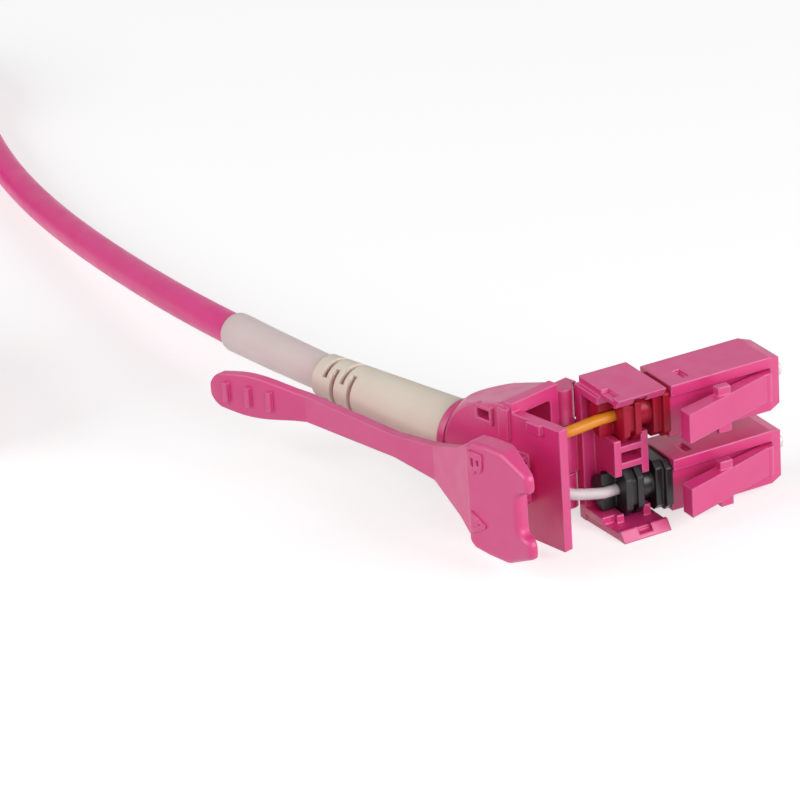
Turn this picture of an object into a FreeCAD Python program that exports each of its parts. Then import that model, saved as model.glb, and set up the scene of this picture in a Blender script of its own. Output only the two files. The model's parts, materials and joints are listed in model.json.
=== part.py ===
"""Duplex LC patch cable whose uniboot connector swings open, with its far end closed.

Frame: X runs across the plugs towards their latches, Y along the plugs towards the ferrules, Z is up.
The origin is the middle of the plug holder's foot, on the surface that the cable lies on.
"""

import FreeCAD
import Part
import Sketcher
import math
import os
import re

# Driving dimensions in millimetres, degrees for angles

SIZES = {
    "pitch": 6.25,
    "plug_width": 4.5,
    "plug_length": 9.9,
    "plug_stand": 1.15,
    "nose_length": 1.0,
    "nose_bevel": 0.3,
    "chamber_dia": 3.1,
    "chamber_depth": 5.3,
    "stop_wall": 0.8,
    "stop_hole_dia": 1.6,
    "socket_dia": 3.2,
    "side_slot_length": 1.5,
    "side_slot_width": 0.7,
    "side_slot_depth": 0.3,
    "side_slot_start": 1.5,
    "side_step_length": 3.2,
    "side_step_rise": 0.4,
    "latch_width": 2.4,
    "latch_thick": 0.8,
    "latch_root_radius": 0.5,
    "latch_root_back": 1.5,
    "latch_root_rise": 0.1,
    "latch_tail_over": 0.45,
    "latch_tail_gap": 1.95,
    "latch_tail_thick": 1.35,
    "latch_channel": 0.45,
    "latch_clear": 0.15,
    "ear_span": 3.8,
    "ear_length": 1.1,
    "ear_thick": 0.7,
    "ear_from_tail": 3.5,
    "root_clear": 0.05,
    "collar_dia": 3.2,
    "collar_groove": 0.5,
    "collar_groove_depth": 0.25,
    "collar_gap": 0.225,
    "collar_chamfer": 0.8,
    "front_collar": 4.1,
    "front_chamfer": 0.5,
    "front_collar_gap": 0.1,
    "front_rim": 0.6,
    "neck_dia": 2.6,
    "tail_dia": 3.1,
    "rear_nose": 1.2,
    "seat_clear": 0.08,
    "ferrule_dia": 1.25,
    "ferrule_proud": 1.25,
    "ferrule_grip": 1.0,
    "ferrule_root_dia": 0.9,
    "ferrule_step": 0.1,
    "ferrule_bevel": 0.15,
    "flange_dia": 2.6,
    "flange_length": 1.4,
    "flange_clear": 0.05,
    "spring_dia": 2.5,
    "spring_wire": 0.4,
    "spring_turns": 4,
    "fibre_dia": 0.9,
    "fibre_clear": 0.1,
    "fibre_gap": 1.1,
    "fibre_lead": 3.0,
    "fibre_lead_rise": 0.1,
    "fibre_turn": 0.6,
    "fibre_closed_run": 3.2,
    "fibre_closed_rise": 0.01,
    "fibre_entry_side": 0.15,
    "fibre_entry_back": 3.9,
    "fibre_upper_drop": 0.35,
    "fibre_lower_rise": 1.1,
    "fibre_seat": 0.1,
    "holder_height": 12.0,
    "holder_length": 4.2,
    "plate": 0.6,
    "back_wall": 0.7,
    "back_reach": 2.4,
    "saddle": 0.6,
    "saddle_rear_inset": 0.75,
    "saddle_front_inset": 0.45,
    "tail_inset": 0.2,
    "recess_depth": 0.25,
    "recess_width": 0.7,
    "recess_start": 0.9,
    "pad_rise": 0.6,
    "pad_end": 0.8,
    "pad_length": 1.4,
    "heel_start": 0.75,
    "heel_gap": 0.7,
    "heel_lap": 0.3,
    "saddle_reach": 1.2,
    "saddle_clear": 0.12,
    "shelf": 0.5,
    "shelf_gap": 0.9,
    "shelf_clear": 0.125,
    "hook_length": 0.85,
    "hook_depth": 0.2,
    "hook_tip": 0.25,
    "hook_clear": 0.15,
    "notch": 1.2,
    "hinge_offset": 3.3,
    "hinge_gap": 1.05,
    "hinge_radius": 0.9,
    "barrel": 4.0,
    "pin_radius": 0.5,
    "pin_length": 1.5,
    "pin_clear": 0.05,
    "hinge_clear": 0.1,
    "web_inset": 0.35,
    "stop_ahead": 0.2,
    "stop_reach": 1.35,
    "lug": 0.7,
    "lug_reach": 0.8,
    "wall_gap": 0.15,
    "wall": 0.8,
    "wall_clear": 0.1,
    "wall_tip": 0.73,
    "dome_ahead": 0.6,
    "dome_lead": 0.4,
    "dome_height": 11.2,
    "dome_length": 8.7,
    "dome_reach": 9.3,
    "dome_half_width": 5.5,
    "dome_half_height": 6.2,
    "dome_front_half": 5.95,
    "dome_rear_half": 3.2,
    "dome_wall": 0.9,
    "cavity_inset": 1.3,
    "rim_length": 0.9,
    "rim_rise": 0.2,
    "rib_start": 2.75,
    "rib_end": 5.3,
    "rib_back": 0.7,
    "rib_ahead": 0.3,
    "rib_out": 0.3,
    "lip_radius": 2.65,
    "lip_length": 0.7,
    "window_length": 1.3,
    "window_height": 0.8,
    "window_rise": 3.7,
    "window_back": 2.4,
    "window_frame": 0.3,
    "window_out": 0.2,
    "nub_length": 1.4,
    "nub_height": 0.8,
    "nub_out": 0.35,
    "neck_length": 4.0,
    "neck_outer_dia": 3.0,
    "neck_bore_dia": 2.2,
    "guide_start": 2.6,
    "guide_end": 2.2,
    "guide_half": 2.0,
    "guide_lip": 0.4,
    "slide_clear": 0.12,
    "rail_stand": 0.35,
    "rail_thick": 0.7,
    "rail_width": 2.9,
    "rail_start": 2.0,
    "strap_thick": 0.8,
    "strap_rise": 0.35,
    "strap_bend": 2.3,
    "flare_back": 1.8,
    "flare_half": 2.9,
    "blend_back": 5.7,
    "overlap": 1.0,
    "strap_half": 1.45,
    "waist_half": 0.95,
    "waist_start": 10.0,
    "paddle_half": 1.75,
    "paddle_tip_half": 0.7,
    "strap_length": 29.3,
    "waist_back": 20.5,
    "paddle_back": 25.6,
    "head_thick": 1.65,
    "head_bevel": 0.5,
    "head_corner": 0.7,
    "head_back": -0.2,
    "head_rear_half": 4.0,
    "head_side_back": 0.8,
    "head_side_half": 4.5,
    "head_half": 4.65,
    "head_long": 4.4,
    "arm_end": 7.2,
    "arm_outer_half": 3.4,
    "arm_inner_half": 1.9,
    "arm_ramp": 3.9,
    "arm_tip": 0.65,
    "notch_end": 5.9,
    "notch_half": 1.75,
    "stem_start": 0.8,
    "stem_end": 2.6,
    "stem_half": 0.7,
    "tab_clear": 0.15,
    "ridge_first": 1.4,
    "ridge_width": 0.5,
    "ridge_height": 1.7,
    "ridge_rise": 0.3,
    "ridge_pitch": 2.05,
    "crimp_wall": 0.25,
    "crimp_length": 3.6,
    "crimp_clear": 0.05,
    "boot_length": 15.7,
    "boot_front_radius": 2.4,
    "boot_rear_radius": 1.87,
    "boot_socket": 4.4,
    "boot_clear": 0.08,
    "boot_bore_clear": 0.1,
    "slot_width": 0.5,
    "slot_pitch": 1.05,
    "slot_first": 1.2,
    "slot_angle": 120,
    "cable_dia": 2.8,
    "straight_run": 21.0,
    "far_straight_run": 18.2,
    "sleeve_wall": 0.15,
    "sleeve_length": 14.0,
    "sleeve_clear": 0.05,
    "coil_radius": 16.8,
    "coil_columns": 4,
    "coil_height": 5.6,
    "coil_draft": 0.3,
    "tie_thick": 0.5,
    "tie_width": 7.0,
    "far_shift_x": -54.0,
    "far_shift_y": -34.0,
    "coil_x": -124.0,
    "coil_y": -27.0,
    "close_angle": -90,
    "swing_open": 14,
}

NEAR_ROUTE_FREE = [(-73.0, -13.0, 2.4), (-97.0, -11.9, 1.9), (-119.0, -6.6, 1.9)]
FAR_ROUTE_FREE = [(-105.5, -44.6, 4.3), (-119.4, -47.5, 4.7)]

# Places worked out from the driving dimensions

MID = "(holder_height / 2)"
HOLDER_REAR = "(-holder_length / 2)"
HOLDER_FRONT = "(holder_length / 2)"
PLUG_REAR = f"({HOLDER_FRONT} + plug_stand)"
PLUG_FRONT = f"({PLUG_REAR} + plug_length)"
STOP_BACK = f"({PLUG_REAR} + chamber_depth)"
FLANGE_BACK = f"({STOP_BACK} - flange_clear - flange_length)"
SPRING_BACK = f"({PLUG_REAR} + rear_nose)"
LATCH_ROOT_X = "(plug_width / 2 + latch_root_rise)"
LATCH_ROOT_Y = f"({PLUG_FRONT} - latch_root_back)"
LATCH_TAIL_Y = f"({PLUG_REAR} - latch_tail_over)"
LATCH_TAIL_X = "(plug_width / 2 + latch_tail_gap)"
LATCH_TOP_X = f"({LATCH_TAIL_X} + latch_tail_thick)"
HINGE_X = "(-hinge_offset)"
HINGE_Y = f"({HOLDER_REAR} - hinge_gap)"
BACK_X = "(-back_reach)"
HEEL_X = f"({HINGE_X} + heel_start)"
HEEL_Y = f"({HINGE_Y} + heel_gap)"
COLLAR_OUT = "(holder_height / 2 - pitch / 2 - plate - collar_gap)"
COLLAR_IN = "(pitch / 2 - shelf_gap / 2 - shelf - shelf_clear)"
HOUSING_HALF = "(holder_height / 2 - plate - hook_depth - wall_gap)"
HOOK_X = "(collar_dia / 2 + wall_clear + wall + hook_clear)"
EDGE_X = f"({HOOK_X} + hook_length)"
BOOT_Y = f"({HINGE_Y} - hinge_offset)"
WALL_IN_Y = f"({BOOT_Y} - collar_dia / 2 - wall_clear)"
WALL_OUT_Y = f"({WALL_IN_Y} - wall)"
DOME_FRONT = f"({HINGE_X} + dome_ahead)"
DOME_REAR = f"({DOME_FRONT} - dome_length)"
NECK_END = f"({DOME_REAR} - neck_length)"
BOOT_END = f"({DOME_REAR} - boot_length)"
WALL_END = f"({HINGE_X} + hinge_gap + holder_length + plug_stand - wall_tip)"
RAIL_IN_Y = f"({WALL_OUT_Y} - rail_stand)"
RAIL_OUT_Y = f"({RAIL_IN_Y} - rail_thick)"
GUIDE_OUT_Y = f"({RAIL_OUT_Y} - slide_clear - guide_lip)"
HEAD_IN_Y = f"({BOOT_Y} - {LATCH_TOP_X} - tab_clear)"
HEAD_OUT_Y = f"({HEAD_IN_Y} - head_thick)"
STRAP_OUT_Y = f"({HEAD_IN_Y} + strap_rise)"
STRAP_IN_Y = f"({STRAP_OUT_Y} + strap_thick)"
SADDLE_REAR = f"({HOLDER_REAR} + saddle_rear_inset)"
SADDLE_FRONT = f"({HOLDER_FRONT} - saddle_front_inset)"

DOC = FreeCAD.newDocument("fibre_cable")
SHEET = DOC.addObject("Spreadsheet::Sheet", "dims")
NODES = []


def fill_sheet():
    """Write every driving dimension into the sheet, each under its own alias."""
    for row, (alias, number) in enumerate(SIZES.items(), 1):
        SHEET.set(f"A{row}", alias)
        SHEET.set(f"B{row}", str(number))
        SHEET.setAlias(f"B{row}", alias)
    DOC.recompute()


def sheet_form(text):
    """Put the sheet's name before each alias in an expression."""
    return re.sub(r"[a-z][a-z_]+", lambda word: "dims." + word.group(), str(text))


def bind(item, **sizes):
    """Bind properties of an object to expressions of the sheet's aliases."""
    for name, text in sizes.items():
        item.setExpression(name, sheet_form(text))
    return item


def put(item, place):
    """Bind the position of an object to three expressions."""
    for axis, text in zip("xyz", place):
        item.setExpression(f"Placement.Base.{axis}", sheet_form(text))
    return item


def number(text):
    """The value that an expression has on the sheet, read through a helper property."""
    item = DOC.addObject("App::FeaturePython", "reading")
    item.addProperty("App::PropertyFloat", "Result")
    item.setExpression("Result", sheet_form(text))
    DOC.recompute()
    result = item.Result
    DOC.removeObject(item.Name)
    return result


AXIS_TURN = {
    "x": FreeCAD.Rotation(FreeCAD.Vector(0, 1, 0), 90),
    "y": FreeCAD.Rotation(FreeCAD.Vector(1, 0, 0), -90),
    "z": FreeCAD.Rotation(),
}


def along(axis, start, centre):
    """The three coordinates of a point at start on an axis through centre, in X, Y, Z order."""
    place = list(centre)
    place.insert("xyz".index(axis), start)
    return place


def box(name, low, high):
    """A box between two corners, each given as three expressions."""
    item = DOC.addObject("Part::Box", name)
    sides = [f"({b}) - ({a})" for a, b in zip(low, high)]
    bind(item, Length=sides[0], Width=sides[1], Height=sides[2])
    return put(item, low)


def rod(name, axis, centre, radius, start, end):
    """A cylinder along an axis, from start to end."""
    item = DOC.addObject("Part::Cylinder", name)
    item.Placement.Rotation = AXIS_TURN[axis]
    bind(item, Radius=radius, Height=f"({end}) - ({start})")
    return put(item, along(axis, start, centre))


def cone(name, axis, centre, radii, start, end):
    """A cone frustum along an axis, with its radius at the start and at the end."""
    item = DOC.addObject("Part::Cone", name)
    item.Placement.Rotation = AXIS_TURN[axis]
    bind(item, Radius1=radii[0], Radius2=radii[1], Height=f"({end}) - ({start})")
    return put(item, along(axis, start, centre))


def taper(name, length, first, second):
    """A block along Y whose X and Z limits change from the first end to the second."""
    item = DOC.addObject("Part::Wedge", name)
    bind(item, Ymin=length[0], Ymax=length[1])
    bind(item, Xmin=first[0], Xmax=first[1], Zmin=first[2], Zmax=first[3])
    bind(item, X2min=second[0], X2max=second[1], Z2min=second[2], Z2max=second[3])
    return item


def join(name, *items):
    """One solid from several that overlap."""
    item = DOC.addObject("Part::MultiFuse", name)
    item.Shapes = list(items)
    item.Refine = True
    return item


def cut(name, base, *tools):
    """A solid less one or more tools."""
    item = DOC.addObject("Part::Cut", name)
    item.Base = base
    item.Tool = tools[0] if len(tools) == 1 else join(name + "_tools", *tools)
    item.Refine = True
    return item


def node(label, item):
    """Name a finished piece."""
    item.Label = label
    NODES.append(item)
    return item


def closed_outline(name, plane, points, depth):
    """A pad of a closed polygon whose corners are bound to the sheet one by one."""
    body = DOC.addObject("PartDesign::Body", name)
    sketch = body.newObject("Sketcher::SketchObject", name + "_sketch")
    support = [item for item in body.Origin.OriginFeatures if item.Role == plane][0]
    sketch.AttachmentSupport = (support, [""])
    sketch.MapMode = "FlatFace"
    count = len(points)
    ring = [(10 * math.cos(2 * math.pi * k / count), 10 * math.sin(2 * math.pi * k / count))
            for k in range(count)]
    corners = [FreeCAD.Vector(u, v, 0) for u, v in ring]
    for k in range(count):
        sketch.addGeometry(Part.LineSegment(corners[k], corners[(k + 1) % count]), False)
    for k in range(count):
        sketch.addConstraint(Sketcher.Constraint("Coincident", k, 2, (k + 1) % count, 1))
    for k, corner in enumerate(points):
        for kind, here, text in zip(("DistanceX", "DistanceY"), ring[k], corner):
            index = sketch.addConstraint(Sketcher.Constraint(kind, -1, 1, k, 1, here))
            sketch.setExpression(f"Constraints[{index}]", sheet_form(text))
    pad = body.newObject("PartDesign::Pad", name + "_pad")
    pad.Profile = sketch
    bind(pad, Length=depth)
    DOC.recompute()
    return body, pad


def rounded_path(points):
    """Straight runs joined by tangent arcs, each arc as large as its two runs allow."""
    spots = [FreeCAD.Vector(*point) for point in points]
    edges = []
    radii = []
    start = spots[0]
    for before, here, after in zip(spots, spots[1:], spots[2:]):
        back = (before - here).normalize()
        ahead = (after - here).normalize()
        shorter = min((before - here).Length, (after - here).Length)
        half_turn = (math.pi - back.getAngle(ahead)) / 2
        reach = 0.45 * shorter
        radius = reach / math.tan(half_turn)
        radii.append(round(radius, 1))
        enter = here + back * reach
        leave = here + ahead * reach
        inward = (back + ahead).normalize()
        middle = here + inward * (radius / math.cos(half_turn) - radius)
        edges.append(Part.LineSegment(start, enter).toShape())
        edges.append(Part.Arc(enter, middle, leave).toShape())
        start = leave
    edges.append(Part.LineSegment(start, spots[-1]).toShape())
    return Part.Wire(edges), radii


def swept(wire, outer, inner=0.0):
    """A round tube along a wire, solid when it has no inner radius."""
    first = wire.Edges[0]
    place = first.valueAt(first.FirstParameter)
    heading = first.tangentAt(first.FirstParameter)

    def pipe(radius):
        section = Part.Wire([Part.Circle(place, heading, radius).toShape()])
        return wire.makePipeShell([section], True, False)

    return pipe(outer).cut(pipe(inner)) if inner else pipe(outer)


def shaped(label, shape):
    """A piece whose shape is swept in code from the sheet's values."""
    item = DOC.addObject("Part::Feature", label)
    item.Shape = shape
    return node(label, item)


# Plugs, with everything that goes in them

def plug_height(side):
    """The height of a plug's axis, side +1 for the upper plug and -1 for the lower."""
    return f"({MID} + {side} * pitch / 2)"


def plug_body(label, side):
    """Square plug body with a bevelled nose, a front socket, a spring chamber and a latch channel."""
    height = plug_height(side)
    half = "plug_width / 2"
    front_half = "(plug_width / 2 - nose_bevel)"
    nose_start = f"({PLUG_FRONT} - nose_length)"
    channel_half = "(latch_width / 2 + latch_clear)"
    block = box(label + "_block", (f"-{half}", PLUG_REAR, f"{height} - {half}"),
                (half, nose_start, f"{height} + {half}"))
    nose = taper(label + "_nose", (nose_start, PLUG_FRONT),
                 (f"-{half}", half, f"{height} - {half}", f"{height} + {half}"),
                 (f"-{front_half}", front_half, f"{height} - {front_half}", f"{height} + {front_half}"))
    chamber = rod(label + "_chamber", "y", ("0", height), "chamber_dia / 2", PLUG_REAR, STOP_BACK)
    hole = rod(label + "_hole", "y", ("0", height), "stop_hole_dia / 2", STOP_BACK, PLUG_FRONT)
    socket = rod(label + "_socket", "y", ("0", height), "socket_dia / 2", f"{STOP_BACK} + stop_wall",
                 PLUG_FRONT)
    channel = box(label + "_channel", (f"{half} - latch_channel", PLUG_REAR, f"{height} - {channel_half}"),
                  (half, LATCH_ROOT_Y, f"{height} + {channel_half}"))
    groove = rod(label + "_groove", "z", (LATCH_ROOT_X, LATCH_ROOT_Y), "latch_root_radius + root_clear",
                 f"{height} - {channel_half}", f"{height} + {channel_half}")
    slots = [box(f"{label}_slot{end}",
                 ("-side_slot_length / 2 + side_slot_width", f"{PLUG_REAR} + side_slot_start",
                                        f"{height} + {end} * {half} - side_slot_depth * {(1 + end) // 2}"),
                 ("side_slot_length / 2 + side_slot_width",
                  f"{PLUG_REAR} + side_slot_start + side_slot_width",
                  f"{height} + {end} * {half} + side_slot_depth * {(1 - end) // 2}")) for end in (1, -1)]
    step = box(label + "_step", (f"{half} - latch_channel", PLUG_REAR, f"{height} - {half}"),
               (half, f"{PLUG_REAR} + side_step_length", f"{height} + side_step_rise"))
    return node(label, cut(label, join(label + "_solid", block, nose), chamber, hole, socket, channel, groove,
                           step, *slots))


def latch(label, side):
    """Latch lever with a round root, a thick tail and two locking ears."""
    height = plug_height(side)
    half = "latch_width / 2"
    low, high = f"{height} - {half}", f"{height} + {half}"
    lever = taper(label + "_lever", (LATCH_TAIL_Y, LATCH_ROOT_Y), (LATCH_TAIL_X, LATCH_TOP_X, low, high),
                  (f"{LATCH_ROOT_X} - latch_thick / 2", f"{LATCH_ROOT_X} + latch_thick / 2", low, high))
    root = rod(label + "_root", "z", (LATCH_ROOT_X, LATCH_ROOT_Y), "latch_root_radius", low, high)
    share = f"((ear_from_tail + ear_length / 2) / ({LATCH_ROOT_Y} - {LATCH_TAIL_Y}))"
    tail_middle = f"({LATCH_TAIL_X} + latch_tail_thick / 2)"
    ear_x = f"({tail_middle} + ({LATCH_ROOT_X} - {tail_middle}) * {share})"
    ears = box(label + "_ears", (f"{ear_x} - ear_thick / 2", f"{LATCH_TAIL_Y} + ear_from_tail",
                                 f"{height} - ear_span / 2"),
               (f"{ear_x} + ear_thick / 2", f"{LATCH_TAIL_Y} + ear_from_tail + ear_length",
                f"{height} + ear_span / 2"))
    return node(label, join(label, lever, root, ears))


def rear_body(label, side):
    """Rear body: half-open tail, grooved collar, neck for the saddle, front collar and a nose in the plug."""
    height = plug_height(side)
    centre = ("0", height)
    start = f"({SADDLE_REAR} + saddle + saddle_clear)"
    end = f"({SADDLE_FRONT} - saddle - saddle_clear)"
    middle = f"(({start} + {end}) / 2)"
    front_start = f"({HOLDER_FRONT} - front_collar_gap)"
    deep = "collar_groove_depth"
    reach = (COLLAR_IN, COLLAR_OUT) if side > 0 else (COLLAR_OUT, COLLAR_IN)
    groove = [f"{half} - {deep}" for half in reach]
    parts = [
        rod(label + "_tail", "y", centre, "tail_dia / 2", f"{HOLDER_REAR} + tail_inset", start),
        octagon(label + "_collar", height, ("collar_dia / 2", *reach, "collar_chamfer"),
                start, f"{middle} - collar_groove / 2"),
        octagon(label + "_groove", height, (f"collar_dia / 2 - {deep}", *groove, "collar_chamfer"),
                f"{middle} - collar_groove / 2", f"{middle} + collar_groove / 2"),
        octagon(label + "_ring", height, ("collar_dia / 2", *reach, "collar_chamfer"),
                f"{middle} + collar_groove / 2", end),
        rod(label + "_neck", "y", centre, "neck_dia / 2", end, front_start),
        octagon(label + "_front", height, ("collar_dia / 2", *reach, "front_chamfer"), front_start,
                PLUG_REAR),
        octagon(label + "_rim", height,
                ("front_collar / 2", "front_collar / 2", "front_collar / 2", "front_chamfer"),
                f"{PLUG_REAR} - front_rim", PLUG_REAR),
        rod(label + "_nose", "y", centre, "chamber_dia / 2 - seat_clear", PLUG_REAR, SPRING_BACK),
    ]
    bore = rod(label + "_bore", "y", centre, "fibre_dia / 2 + fibre_clear", HOLDER_REAR, SPRING_BACK)
    gap = box(label + "_gap", ("0", HOLDER_REAR, f"{height} - tail_dia / 2"),
              ("tail_dia / 2", start, f"{height} + tail_dia / 2"))
    return node(label, cut(label, join(label + "_solid", *parts), bore, gap))


def octagon(name, height, form, start, end):
    """A block along Y with its four long edges cut off, from its half width, its reach down and up, and the cut."""
    half, below, above, cut_off = form
    ring = [(f"({half})", f"({above}) - {cut_off}"), (f"({half}) - {cut_off}", f"({above})")]
    low = [(f"({half}) - {cut_off}", f"-({below})"), (f"({half})", f"-(({below}) - {cut_off})")]
    ring += [(f"-({x})", y) for x, y in reversed(ring)]
    ring += [(f"-({x})", y) for x, y in reversed(low)] + low
    body, pad = closed_outline(name, "XZ_Plane", ring, f"({end}) - ({start})")
    return put(body, ("0", end, height))


def ferrule(label, side):
    """Ceramic ferrule: a root gripped by its flange, a full length in the socket and a bevelled tip."""
    centre = ("0", plug_height(side))
    step = f"({STOP_BACK} + stop_wall + ferrule_step)"
    tip = f"({PLUG_FRONT} + ferrule_proud)"
    radius = "ferrule_dia / 2"
    root = rod(label + "_root", "y", centre, "ferrule_root_dia / 2",
               f"{STOP_BACK} - flange_clear - ferrule_grip", step)
    full = rod(label + "_full", "y", centre, radius, step, f"{tip} - ferrule_bevel")
    point = cone(label + "_point", "y", centre, (radius, f"{radius} - ferrule_bevel"),
                 f"{tip} - ferrule_bevel", tip)
    return node(label, join(label, root, full, point))


def flange(label, side):
    """Metal flange behind the stop wall, bored for the ferrule and the fibre."""
    centre = ("0", plug_height(side))
    grip = f"({STOP_BACK} - flange_clear - ferrule_grip)"
    disc = rod(label + "_disc", "y", centre, "flange_dia / 2", FLANGE_BACK, f"{STOP_BACK} - flange_clear")
    seat = rod(label + "_seat", "y", centre, "ferrule_root_dia / 2", grip, f"{STOP_BACK} - flange_clear")
    return node(label, cut(label, disc, seat))


def spring(label, side):
    """Wire spring between the rear body's nose and the flange."""
    start = number(f"{SPRING_BACK} + spring_wire / 2")
    end = number(f"{FLANGE_BACK} - spring_wire / 2")
    radius = number("(spring_dia - spring_wire) / 2")
    helix = Part.makeHelix((end - start) / number("spring_turns"), end - start, radius)
    section = Part.Wire([Part.Circle(FreeCAD.Vector(radius, 0, 0), FreeCAD.Vector(0, 1, 0),
                                     number("spring_wire / 2")).toShape()])
    item = shaped(label, Part.Wire(helix).makePipeShell([section], True, True))
    item.Placement = FreeCAD.Placement(FreeCAD.Vector(0, start, number(plug_height(side))), AXIS_TURN["y"])
    return item


# Plug holder

def plug_holder(label):
    """One moulding: back wall, two hooked plates, two saddle walls, two shelves and the hinge barrel."""
    inner = f"({BACK_X} + back_wall)"
    parts = [box("holder_back", (BACK_X, HOLDER_REAR, "0"), (inner, HOLDER_FRONT, "holder_height"))]
    for side in (1, -1):
        parts += hooked_plate(f"holder_plate{side}", side, inner)
    parts.append(box("holder_heel", (HEEL_X, HEEL_Y, "0"),
                     (inner, f"{HOLDER_REAR} + heel_lap", "holder_height - plate")))
    parts.append(saddle_wall("holder_rear_saddle", inner, SADDLE_REAR, "tail_dia / 2 + seat_clear"))
    parts.append(saddle_wall("holder_front_saddle", inner, f"({SADDLE_FRONT} - saddle)",
                             "neck_dia / 2 + seat_clear"))
    for side in (1, -1):
        middle = f"({MID} + {side} * (shelf_gap + shelf) / 2)"
        parts.append(box(f"holder_shelf{side}", (inner, SADDLE_REAR, f"{middle} - shelf / 2"),
                         ("saddle_reach", SADDLE_FRONT, f"{middle} + shelf / 2")))
    barrel_low, barrel_high = f"({MID} - barrel / 2)", f"({MID} + barrel / 2)"
    parts.append(rod("holder_barrel", "z", (HINGE_X, HINGE_Y), "hinge_radius", barrel_low, barrel_high))
    parts.append(rod("holder_pins", "z", (HINGE_X, HINGE_Y), "pin_radius", f"{barrel_low} - pin_length",
                     f"{barrel_high} + pin_length"))
    parts.append(box("holder_web", (HINGE_X, HINGE_Y, barrel_low),
                     (f"{HINGE_X} + lug_reach", f"{HOLDER_REAR} + lug", barrel_high)))
    parts.append(box("holder_lug", (HINGE_X, HOLDER_REAR, barrel_low),
                     (inner, f"{HOLDER_REAR} + lug", barrel_high)))
    recess = box("holder_recess", ("recess_start", HOLDER_REAR, "holder_height - recess_depth"),
                 (HOOK_X, f"{HOLDER_REAR} + recess_width", "holder_height"))
    return node(label, cut(label, join("holder_solid", *parts), recess))


def hooked_plate(name, side, inner):
    """A plate with a sloped hook along its free edge, a notch in it and a pad at the rear, slanted there when lower."""
    def level(rise):
        return f"(holder_height - ({rise}))" if side > 0 else f"({rise})"

    def slab(title, low, high, levels):
        heights = [level(rise) for rise in (levels if side < 0 else reversed(levels))]
        return box(name + title, (*low, heights[0]), (*high, heights[1]))

    leaf = slab("_leaf", (BACK_X, HOLDER_REAR), (f"{HOOK_X} + hook_tip", HOLDER_FRONT), ("0", "plate"))
    edge = DOC.addObject("Part::Wedge", name + "_edge")
    bind(edge, Xmin="0", Xmax="hook_length", Ymin="0", Ymax="plate + hook_depth", Zmin="0",
         Zmax="holder_length")
    bind(edge, X2min="0", X2max="hook_tip", Z2min="0", Z2max="holder_length")
    edge.Placement.Rotation = FreeCAD.Rotation(FreeCAD.Vector(1, 0, 0), -90 * side)
    put(edge, (HOOK_X, HOLDER_REAR if side > 0 else HOLDER_FRONT, level("0")))
    notch = slab("_notch", (HOOK_X, "-notch / 2"), (EDGE_X, "notch / 2"), ("plate / 2", "plate + hook_depth"))
    pad_front = f"{HOLDER_REAR} + pad_length"
    rest = slab("_pad", (HEEL_X, HEEL_Y), ("pad_end", pad_front), ("plate", "plate + pad_rise"))
    seat = rod(name + "_seat", "y", ("0", plug_height(side)), "tail_dia / 2 + seat_clear", HEEL_Y, pad_front)
    pieces = [cut(name, join(name + "_solid", leaf, edge), notch), cut(name + "_rest", rest, seat)]
    if side < 0:
        lap = f"{HOLDER_REAR} + heel_lap"
        corners = [(HEEL_X, HEEL_Y), (HOOK_X, HOLDER_REAR), (HOOK_X, lap), (HEEL_X, lap)]
        pieces.append(closed_outline(name + "_slant", "XY_Plane", corners, "plate")[0])
    return pieces


def saddle_wall(name, inner, start, radius):
    """Wall across the holder with a slot for each plug, open towards the latches."""
    end = f"({start} + saddle)"
    sheet = box(name, (inner, start, "plate / 2"), ("saddle_reach", end, "holder_height - plate / 2"))
    tools = []
    for side in (1, -1):
        height = plug_height(side)
        tools.append(rod(f"{name}_round{side}", "y", ("0", height), radius, start, end))
        tools.append(box(f"{name}_slot{side}", ("0", start, f"{height} - ({radius})"),
                         ("saddle_reach", end, f"{height} + ({radius})")))
    return cut(name + "_cut", sheet, *tools)


# Rear housing

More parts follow.
